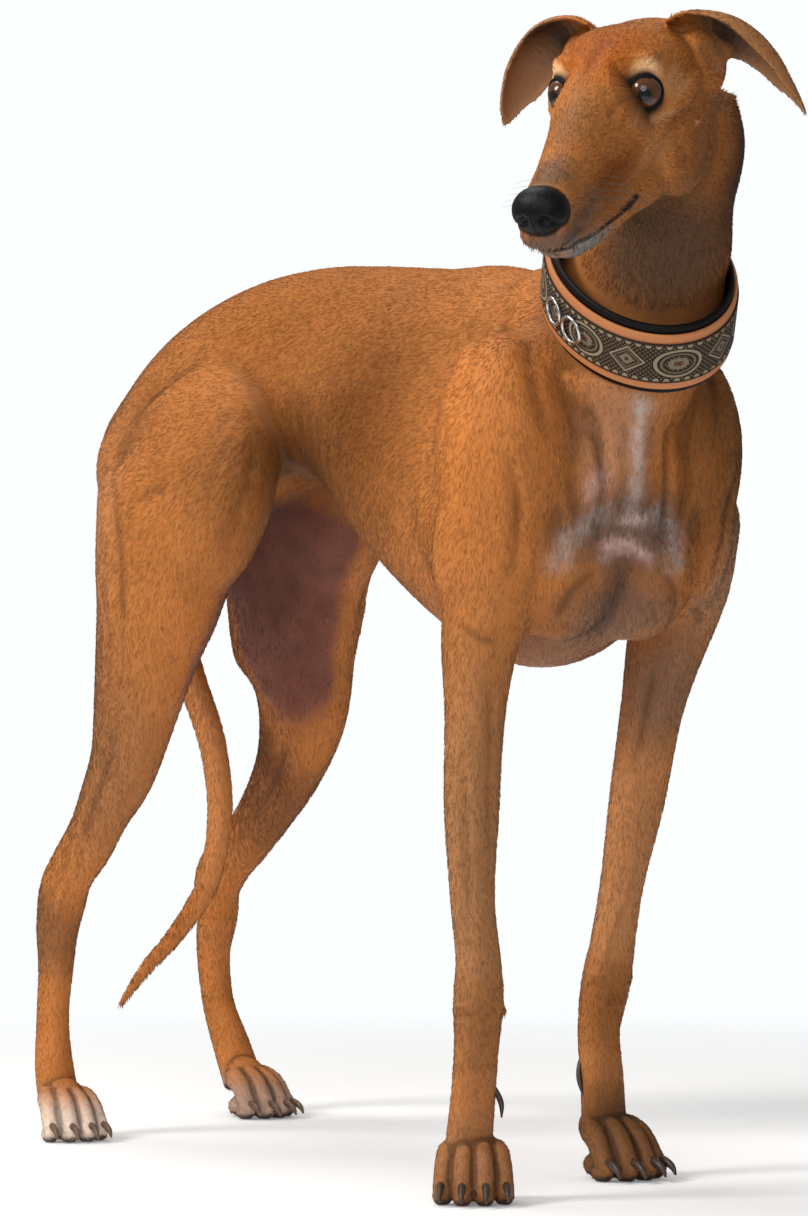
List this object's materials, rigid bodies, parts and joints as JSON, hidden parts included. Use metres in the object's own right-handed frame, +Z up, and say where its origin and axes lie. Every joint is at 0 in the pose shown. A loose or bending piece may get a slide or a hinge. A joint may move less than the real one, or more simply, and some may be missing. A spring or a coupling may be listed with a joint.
{
  "type": "dog",
  "caption": "Standing greyhound with a fawn coat, head turned to its right, wearing a wide decorated collar; a still model.",
  "frame": {"origin": "on the floor under the middle of the dog's bounding box", "axes": "+X the way the dog's body faces, +Y its left side, +Z up"},
  "size_m": [1.0246, 0.3626, 0.8574],
  "materials": {
    "head": "short smooth fawn coat",
    "neck": "short smooth fawn coat",
    "torso": "short smooth fawn coat",
    "tail": "short smooth fawn coat",
    "foreleg_right": "short smooth fawn coat",
    "foreleg_left": "short smooth fawn coat",
    "hindleg_right": "short smooth fawn coat",
    "hindleg_left": "short smooth fawn coat",
    "ear_right": "short smooth fawn coat",
    "ear_left": "short smooth fawn coat",
    "nose": "damp black nose leather with a fine pebbled grain",
    "eye_right": "glossy brown eye with a dark pupil",
    "eye_left": "glossy brown eye with a dark pupil",
    "collar_lining": "padded black leather lining",
    "collar_strap": "smooth tan leather",
    "collar_ribbon": "woven ornamental ribbon in olive, grey and dark brown",
    "collar_ring_1": "bright steel wire",
    "collar_ring_2": "bright steel wire"
  },
  "bodies": {
    "root": {"head": "head", "neck": "neck", "torso": "torso", "tail": "tail", "foreleg_right": "foreleg_right", "foreleg_left": "foreleg_left", "hindleg_right": "hindleg_right", "hindleg_left": "hindleg_left", "ear_right": "ear_right", "ear_left": "ear_left", "nose": "nose", "eye_right": "eye_right", "eye_left": "eye_left", "collar_lining": "collar_lining", "collar_strap": "collar_strap", "collar_ribbon": "collar_ribbon", "collar_ring_1": "collar_ring_1", "collar_ring_2": "collar_ring_2"}
  },
  "joints": []
}
